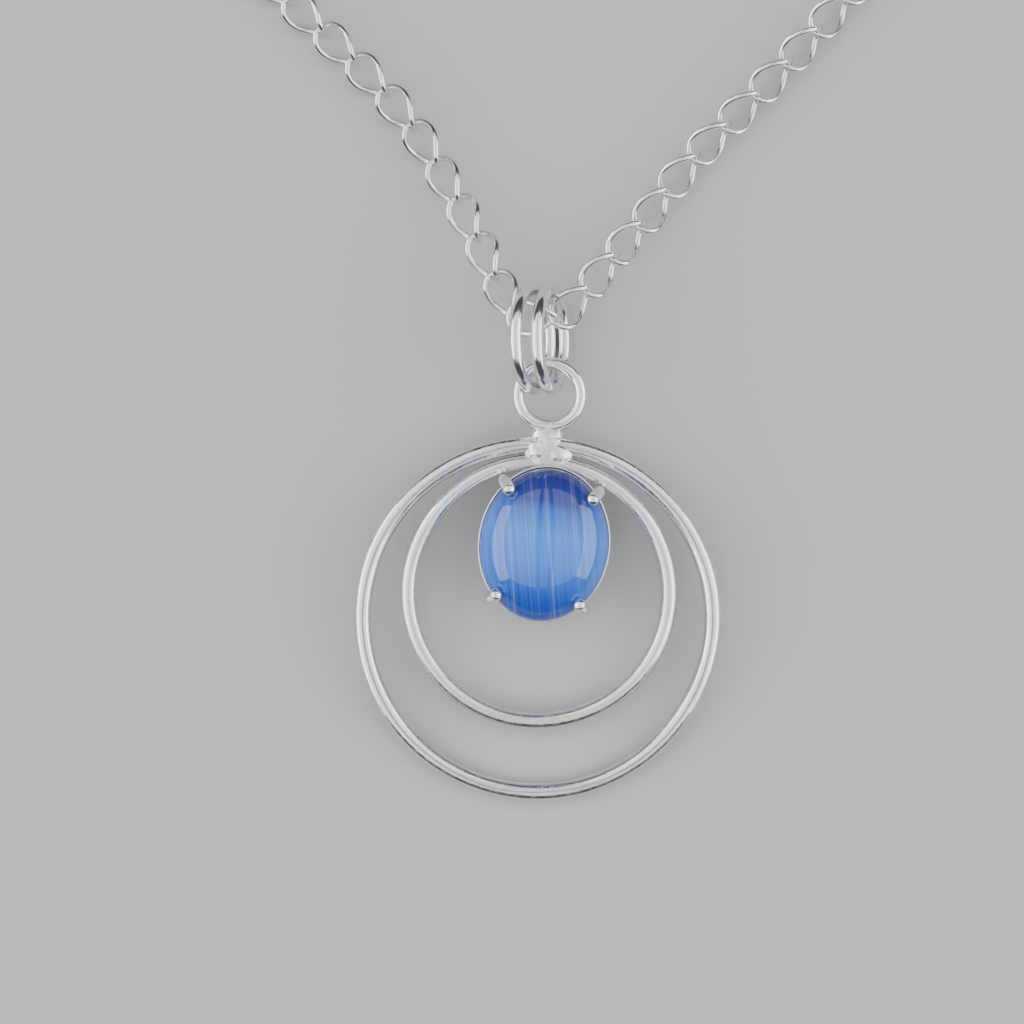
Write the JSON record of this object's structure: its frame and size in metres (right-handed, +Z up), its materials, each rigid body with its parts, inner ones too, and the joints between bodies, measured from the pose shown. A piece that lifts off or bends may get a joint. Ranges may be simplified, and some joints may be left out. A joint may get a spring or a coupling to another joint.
{
  "type": "pendant necklace",
  "caption": "Silver pendant necklace with a cat's-eye cabochon over nested wire hoops, a split-ring bail, a twisted curb chain and a lobster clasp.",
  "frame": {"origin": "middle of the footprint of the laid-out necklace, on the surface it lies on", "axes": "+Z up out of the surface and out of the stone's face; the pendant lies towards -Y and the chain's free ends lie towards +Y; +X is to the right of the pendant seen from the front"},
  "size_m": [0.1324, 0.2454, 0.0084],
  "materials": {
    "bail_silver": "polished",
    "cats_eye_stone": "polished, with a soft bright band",
    "chain_silver": "polished",
    "clasp_silver": "polished",
    "hoop_silver": "polished, finely scratched",
    "pendant_silver": "polished",
    "solder": "rough, flowed",
    "spring_steel": "drawn wire"
  },
  "bodies": {
    "pendant": {"outer_hoop": "hoop_silver", "inner_hoop": "hoop_silver", "eyelet": "pendant_silver", "eyelet_solder": "solder", "hoop_solder": "solder", "setting_plate": "pendant_silver", "claws": "pendant_silver", "cabochon": "cats_eye_stone"},
    "jump_ring_left": {"jump_ring_left": "bail_silver"},
    "jump_ring_right": {"jump_ring_right": "bail_silver"},
    "centre_link": {"centre_link": "chain_silver"},
    "left_link_01": {"left_link_01": "chain_silver"},
    "left_link_02": {"left_link_02": "chain_silver"},
    "left_link_03": {"left_link_03": "chain_silver"},
    "left_link_04": {"left_link_04": "chain_silver"},
    "left_link_05": {"left_link_05": "chain_silver"},
    "left_link_06": {"left_link_06": "chain_silver"},
    "left_link_07": {"left_link_07": "chain_silver"},
    "left_link_08": {"left_link_08": "chain_silver"},
    "left_link_09": {"left_link_09": "chain_silver"},
    "left_link_10": {"left_link_10": "chain_silver"},
    "left_link_11": {"left_link_11": "chain_silver"},
    "left_link_12": {"left_link_12": "chain_silver"},
    "left_links_13_to_19": {"left_links_13_to_19": "chain_silver"},
    "left_links_20_to_26": {"left_links_20_to_26": "chain_silver"},
    "left_links_27_to_33": {"left_links_27_to_33": "chain_silver"},
    "left_links_34_to_40": {"left_links_34_to_40": "chain_silver"},
    "left_links_41_to_47": {"left_links_41_to_47": "chain_silver"},
    "left_links_48_to_54": {"left_links_48_to_54": "chain_silver"},
    "left_links_55_to_61": {"left_links_55_to_61": "chain_silver"},
    "left_link_62": {"left_link_62": "chain_silver"},
    "right_link_01": {"right_link_01": "chain_silver"},
    "right_link_02": {"right_link_02": "chain_silver"},
    "right_link_03": {"right_link_03": "chain_silver"},
    "right_link_04": {"right_link_04": "chain_silver"},
    "right_link_05": {"right_link_05": "chain_silver"},
    "right_link_06": {"right_link_06": "chain_silver"},
    "right_link_07": {"right_link_07": "chain_silver"},
    "right_link_08": {"right_link_08": "chain_silver"},
    "right_link_09": {"right_link_09": "chain_silver"},
    "right_link_10": {"right_link_10": "chain_silver"},
    "right_link_11": {"right_link_11": "chain_silver"},
    "right_link_12": {"right_link_12": "chain_silver"},
    "right_links_13_to_19": {"right_links_13_to_19": "chain_silver"},
    "right_links_20_to_26": {"right_links_20_to_26": "chain_silver"},
    "right_links_27_to_33": {"right_links_27_to_33": "chain_silver"},
    "right_links_34_to_40": {"right_links_34_to_40": "chain_silver"},
    "right_links_41_to_47": {"right_links_41_to_47": "chain_silver"},
    "right_links_48_to_54": {"right_links_48_to_54": "chain_silver"},
    "right_links_55_to_61": {"right_links_55_to_61": "chain_silver"},
    "right_link_62": {"right_link_62": "chain_silver"},
    "clasp_ring": {"clasp_ring": "clasp_silver"},
    "clasp_body": {"clasp_body": "clasp_silver", "clasp_pin": "clasp_silver", "clasp_spring": "spring_steel"},
    "clasp_lever": {"clasp_lever": "clasp_silver"},
    "tag_link": {"tag_link": "chain_silver"},
    "tag_ring": {"tag_ring": "clasp_silver"}
  },
  "joints": [
    {"name": "bail_left_swing", "type": "hinge", "parent": "pendant", "child": "jump_ring_left", "pos_m": [0.00212, -0.08922, 0.00327], "axis": [1, 0, 0], "range_deg": [0, 24]},
    {"name": "bail_right_swing", "type": "hinge", "parent": "pendant", "child": "jump_ring_right", "pos_m": [0.00212, -0.08922, 0.00327], "axis": [1, 0, 0], "range_deg": [0, 24]},
    {"name": "centre_link_swing", "type": "hinge", "parent": "jump_ring_left", "child": "centre_link", "pos_m": [0.00068, -0.08268, 0.00409], "axis": [0, 0, 1], "range_deg": [-4, 4]},
    {"name": "left_link_01_swing", "type": "hinge", "parent": "centre_link", "child": "left_link_01", "pos_m": [-0.00069, -0.08488, 0.00421], "axis": [0, 0, -1], "range_deg": [-30, 2]},
    {"name": "left_link_02_swing", "type": "hinge", "parent": "left_link_01", "child": "left_link_02", "pos_m": [-0.00214, -0.08175, 0.00378], "axis": [0, 0, 1], "range_deg": [-25, 25]},
    {"name": "left_link_03_swing", "type": "hinge", "parent": "left_link_02", "child": "left_link_03", "pos_m": [-0.00357, -0.0787, 0.00294], "axis": [0, 0, 1], "range_deg": [-25, 25]},
    {"name": "left_link_04_swing", "type": "hinge", "parent": "left_link_03", "child": "left_link_04", "pos_m": [-0.00509, -0.07571, 0.00204], "axis": [0, 0, -1], "range_deg": [-25, 25]},
    {"name": "left_link_05_swing", "type": "hinge", "parent": "left_link_04", "child": "left_link_05", "pos_m": [-0.00681, -0.07274, 0.00149], "axis": [0, 0, -1], "range_deg": [-25, 25]},
    {"name": "left_link_06_swing", "type": "hinge", "parent": "left_link_05", "child": "left_link_06", "pos_m": [-0.00865, -0.0698, 0.00149], "axis": [0, 0, 1], "range_deg": [-25, 25]},
    {"name": "left_link_07_swing", "type": "hinge", "parent": "left_link_06", "child": "left_link_07", "pos_m": [-0.01083, -0.0671, 0.00149], "axis": [0, 0, 1], "range_deg": [-25, 25]},
    {"name": "left_link_08_swing", "type": "hinge", "parent": "left_link_07", "child": "left_link_08", "pos_m": [-0.01324, -0.0646, 0.00149], "axis": [0, 0, -1], "range_deg": [-25, 25]},
    {"name": "left_link_09_swing", "type": "hinge", "parent": "left_link_08", "child": "left_link_09", "pos_m": [-0.01578, -0.06224, 0.00149], "axis": [0, 0, -1], "range_deg": [-25, 25]},
    {"name": "left_link_10_swing", "type": "hinge", "parent": "left_link_09", "child": "left_link_10", "pos_m": [-0.01832, -0.05987, 0.00149], "axis": [0, 0, 1], "range_deg": [-25, 25]},
    {"name": "left_link_11_swing", "type": "hinge", "parent": "left_link_10", "child": "left_link_11", "pos_m": [-0.02077, -0.05742, 0.00149], "axis": [0, 0, 1], "range_deg": [-25, 25]},
    {"name": "left_link_12_swing", "type": "hinge", "parent": "left_link_11", "child": "left_link_12", "pos_m": [-0.02317, -0.05491, 0.00149], "axis": [0, 0, -1], "range_deg": [-25, 25]},
    {"name": "left_links_13_to_19_swing", "type": "hinge", "parent": "left_link_12", "child": "left_links_13_to_19", "pos_m": [-0.02551, -0.05235, 0.00149], "axis": [0, 0, -1], "range_deg": [-28, 28]},
    {"name": "left_links_20_to_26_swing", "type": "hinge", "parent": "left_links_13_to_19", "child": "left_links_20_to_26", "pos_m": [-0.0402, -0.03304, 0.00149], "axis": [0, 0, 1], "range_deg": [-35, 35]},
    {"name": "left_links_27_to_33_swing", "type": "hinge", "parent": "left_links_20_to_26", "child": "left_links_27_to_33", "pos_m": [-0.05169, -0.01166, 0.00149], "axis": [0, 0, 1], "range_deg": [-35, 35]},
    {"name": "left_links_34_to_40_swing", "type": "hinge", "parent": "left_links_27_to_33", "child": "left_links_34_to_40", "pos_m": [-0.05968, 0.01125, 0.00149], "axis": [0, 0, -1], "range_deg": [-35, 35]},
    {"name": "left_links_41_to_47_swing", "type": "hinge", "parent": "left_links_34_to_40", "child": "left_links_41_to_47", "pos_m": [-0.06398, 0.03513, 0.00149], "axis": [0, 0, -1], "range_deg": [-35, 35]},
    {"name": "left_links_48_to_54_swing", "type": "hinge", "parent": "left_links_41_to_47", "child": "left_links_48_to_54", "pos_m": [-0.06449, 0.05939, 0.00149], "axis": [0, 0, 1], "range_deg": [-35, 35]},
    {"name": "left_links_55_to_61_swing", "type": "hinge", "parent": "left_links_48_to_54", "child": "left_links_55_to_61", "pos_m": [-0.06118, 0.08343, 0.00149], "axis": [0, 0, 1], "range_deg": [-35, 35]},
    {"name": "left_link_62_swing", "type": "hinge", "parent": "left_links_55_to_61", "child": "left_link_62", "pos_m": [-0.05415, 0.10665, 0.00149], "axis": [0, 0, -1], "range_deg": [-35, 35]},
    {"name": "right_link_01_swing", "type": "hinge", "parent": "centre_link", "child": "right_link_01", "pos_m": [0.00278, -0.08488, 0.00418], "axis": [0, 0, 1], "range_deg": [-30, 3]},
    {"name": "right_link_02_swing", "type": "hinge", "parent": "right_link_01", "child": "right_link_02", "pos_m": [0.00517, -0.08241, 0.00362], "axis": [0, 0, -1], "range_deg": [-25, 25]},
    {"name": "right_link_03_swing", "type": "hinge", "parent": "right_link_02", "child": "right_link_03", "pos_m": [0.00728, -0.0798, 0.00272], "axis": [0, 0, -1], "range_deg": [-25, 25]},
    {"name": "right_link_04_swing", "type": "hinge", "parent": "right_link_03", "child": "right_link_04", "pos_m": [0.00944, -0.07722, 0.00189], "axis": [0, 0, 1], "range_deg": [-25, 25]},
    {"name": "right_link_05_swing", "type": "hinge", "parent": "right_link_04", "child": "right_link_05", "pos_m": [0.01147, -0.07443, 0.00146], "axis": [0, 0, 1], "range_deg": [-25, 25]},
    {"name": "right_link_06_swing", "type": "hinge", "parent": "right_link_05", "child": "right_link_06", "pos_m": [0.0137, -0.07177, 0.00153], "axis": [0, 0, -1], "range_deg": [-25, 25]},
    {"name": "right_link_07_swing", "type": "hinge", "parent": "right_link_06", "child": "right_link_07", "pos_m": [0.01616, -0.06932, 0.00153], "axis": [0, 0, -1], "range_deg": [-25, 25]},
    {"name": "right_link_08_swing", "type": "hinge", "parent": "right_link_07", "child": "right_link_08", "pos_m": [0.01861, -0.06686, 0.00153], "axis": [0, 0, 1], "range_deg": [-25, 25]},
    {"name": "right_link_09_swing", "type": "hinge", "parent": "right_link_08", "child": "right_link_09", "pos_m": [0.02102, -0.06437, 0.00153], "axis": [0, 0, 1], "range_deg": [-25, 25]},
    {"name": "right_link_10_swing", "type": "hinge", "parent": "right_link_09", "child": "right_link_10", "pos_m": [0.02334, -0.06179, 0.00153], "axis": [0, 0, -1], "range_deg": [-25, 25]},
    {"name": "right_link_11_swing", "type": "hinge", "parent": "right_link_10", "child": "right_link_11", "pos_m": [0.02562, -0.05917, 0.00153], "axis": [0, 0, -1], "range_deg": [-25, 25]},
    {"name": "right_link_12_swing", "type": "hinge", "parent": "right_link_11", "child": "right_link_12", "pos_m": [0.02784, -0.0565, 0.00153], "axis": [0, 0, 1], "range_deg": [-25, 25]},
    {"name": "right_links_13_to_19_swing", "type": "hinge", "parent": "right_link_12", "child": "right_links_13_to_19", "pos_m": [0.03, -0.05379, 0.00153], "axis": [0, 0, 1], "range_deg": [-28, 28]},
    {"name": "right_links_20_to_26_swing", "type": "hinge", "parent": "right_links_13_to_19", "child": "right_links_20_to_26", "pos_m": [0.04348, -0.03361, 0.00153], "axis": [0, 0, -1], "range_deg": [-35, 35]},
    {"name": "right_links_27_to_33_swing", "type": "hinge", "parent": "right_links_20_to_26", "child": "right_links_27_to_33", "pos_m": [0.05383, -0.01166, 0.00153], "axis": [0, 0, -1], "range_deg": [-35, 35]},
    {"name": "right_links_34_to_40_swing", "type": "hinge", "parent": "right_links_27_to_33", "child": "right_links_34_to_40", "pos_m": [0.06083, 0.01158, 0.00153], "axis": [0, 0, 1], "range_deg": [-35, 35]},
    {"name": "right_links_41_to_47_swing", "type": "hinge", "parent": "right_links_34_to_40", "child": "right_links_41_to_47", "pos_m": [0.06433, 0.03559, 0.00153], "axis": [0, 0, 1], "range_deg": [-35, 35]},
    {"name": "right_links_48_to_54_swing", "type": "hinge", "parent": "right_links_41_to_47", "child": "right_links_48_to_54", "pos_m": [0.06425, 0.05986, 0.00153], "axis": [0, 0, -1], "range_deg": [-35, 35]},
    {"name": "right_links_55_to_61_swing", "type": "hinge", "parent": "right_links_48_to_54", "child": "right_links_55_to_61", "pos_m": [0.06059, 0.08385, 0.00153], "axis": [0, 0, -1], "range_deg": [-35, 35]},
    {"name": "right_link_62_swing", "type": "hinge", "parent": "right_links_55_to_61", "child": "right_link_62", "pos_m": [0.05343, 0.10704, 0.00153], "axis": [0, 0, 1], "range_deg": [-35, 35]},
    {"name": "clasp_ring_swing", "type": "hinge", "parent": "right_link_62", "child": "clasp_ring", "pos_m": [0.05213, 0.11026, 0.00153], "axis": [0, 0, 1], "range_deg": [-25, 25]},
    {"name": "clasp_swing", "type": "hinge", "parent": "clasp_ring", "child": "clasp_body", "pos_m": [0.05128, 0.11237, 0.00153], "axis": [0, 0, 1], "range_deg": [-12, 12]},
    {"name": "lever_press", "type": "hinge", "parent": "clasp_body", "child": "clasp_lever", "pos_m": [0.04877, 0.11657, 0.00153], "axis": [0, 0, -1], "range_deg": [0, 16], "stiffness_Nm_per_rad": 0.002},
    {"name": "tag_link_lift", "type": "hinge", "parent": "left_link_62", "child": "tag_link", "pos_m": [-0.05265, 0.11036, 0.00149], "axis": [0.9272, -0.3746, 0], "range_deg": [0, 25]},
    {"name": "tag_ring_swing", "type": "hinge", "parent": "tag_link", "child": "tag_ring", "pos_m": [-0.0518, 0.11248, 0.00149], "axis": [0.0843, 0.2086, 0.9744], "range_deg": [-15, 3]}
  ],
  "couplings": [
    {"joint": "bail_right_swing", "follows": "bail_left_swing", "ratio": 1}
  ]
}
